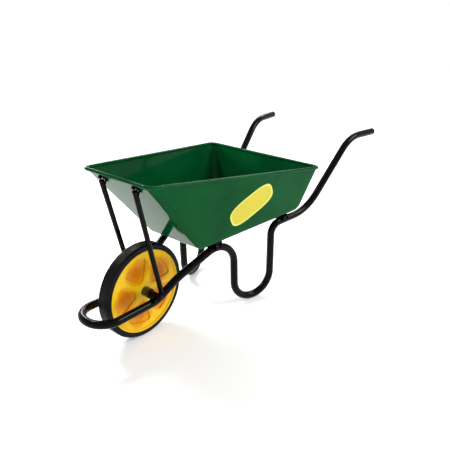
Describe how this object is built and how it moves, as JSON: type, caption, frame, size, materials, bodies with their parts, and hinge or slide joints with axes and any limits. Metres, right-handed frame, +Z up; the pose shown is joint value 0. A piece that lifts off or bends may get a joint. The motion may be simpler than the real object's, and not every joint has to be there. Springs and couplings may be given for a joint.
{
  "type": "wheelbarrow",
  "caption": "Builder's wheelbarrow: bent round-tube frame with looped legs and a front guard loop, tapered open steel tray, pressed disc wheel with solid tyre on a fixed axle.",
  "frame": {"origin": "on the floor, at the middle of the barrow's length and width", "axes": "+X forwards, from the handles to the wheel; +Y to the barrow's left; +Z up"},
  "size_m": [1.5727, 0.629, 0.6825],
  "materials": {
    "frame_tube": "gloss",
    "black_paint": "gloss",
    "pan_paint": "gloss",
    "black_plastic": "satin",
    "zinc": "satin",
    "tyre_rubber": "matte",
    "wheel_paint": "gloss",
    "hub_paint": "gloss",
    "bush_plastic": "satin"
  },
  "bodies": {
    "barrow": {"front_loop_tube": "frame_tube", "left_leg_tube": "frame_tube", "right_leg_tube": "frame_tube", "left_handle_tube": "frame_tube", "right_handle_tube": "frame_tube", "left_end_plug": "black_plastic", "right_end_plug": "black_plastic", "pan": "pan_paint", "pan_rolled_edge": "pan_paint", "front_pan_bearer": "black_paint", "rear_pan_bearer": "black_paint", "left_stay": "black_paint", "right_stay": "black_paint", "left_axle_clamp": "black_paint", "right_axle_clamp": "black_paint", "pan_bolts": "zinc", "pan_bolt_washers": "zinc", "pan_bolt_nuts": "zinc", "stay_bolts": "black_paint", "stay_bolt_washers": "black_paint", "stay_bolt_nuts": "black_paint", "axle": "black_paint", "axle_washers": "black_paint", "axle_nuts": "black_paint", "axle_spacers": "black_paint"},
    "wheel": {"tyre": "tyre_rubber", "wheel_rim": "wheel_paint", "left_wheel_disc": "wheel_paint", "right_wheel_disc": "wheel_paint", "wheel_hub": "hub_paint", "left_hub_bush": "bush_plastic", "right_hub_bush": "bush_plastic"}
  },
  "joints": [
    {"name": "wheel_spin", "type": "hinge", "parent": "barrow", "child": "wheel", "pos_m": [0.5064, 0, 0.1932], "axis": [0, 1, 0], "continuous": true}
  ]
}
